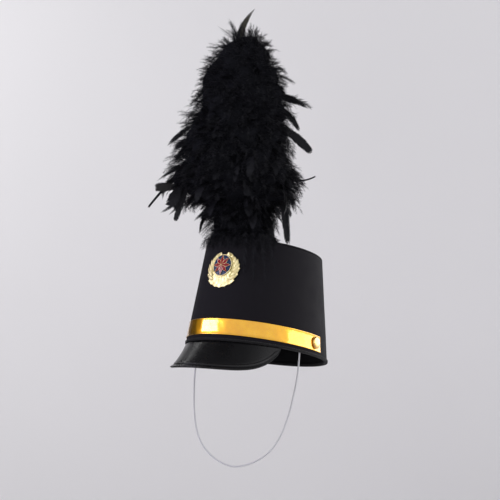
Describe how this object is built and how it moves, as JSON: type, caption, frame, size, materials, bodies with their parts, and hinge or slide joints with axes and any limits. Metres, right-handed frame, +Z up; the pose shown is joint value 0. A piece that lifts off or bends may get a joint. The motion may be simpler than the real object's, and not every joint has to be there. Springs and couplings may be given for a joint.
{
  "type": "shako hat",
  "caption": "Tall oval dress hat with a curved patent peak, gilt front band, enamelled badge, feather plume and elastic chin strap.",
  "frame": {"origin": "middle of the oval lower edge of the crown, where the hat sits on the head", "axes": "+Z up the crown, -Y to the front where the peak is, +X to the wearer's left"},
  "size_m": [0.1957, 0.2885, 0.5957],
  "materials": {
    "crown_cloth": "black felted cloth over board",
    "binding_tape": "black woven tape",
    "patent_peak": "glossy black patent sheet",
    "gilt_foil": "bright gilt foil",
    "gilt_button": "polished gilt",
    "pale_gilt": "pale gilt, stamped",
    "blue_enamel": "blue enamel",
    "red_enamel": "red enamel",
    "clear_elastic": "pale translucent elastic",
    "black_plastic": "plain black",
    "black_feather": "black feather with a soft sheen"
  },
  "bodies": {
    "root": {"crown_wall": "crown_cloth", "crown_top": "crown_cloth", "rim_binding": "binding_tape", "peak": "patent_peak", "front_band": "gilt_foil", "button_left": "gilt_button", "button_right": "gilt_button", "badge_wreath": "pale_gilt", "badge_disc": "blue_enamel", "badge_rosette": "red_enamel", "chin_strap": "clear_elastic", "strap_tab_left": "binding_tape", "strap_tab_right": "binding_tape", "plume_stem": "black_plastic", "plume": "black_feather"}
  },
  "joints": []
}
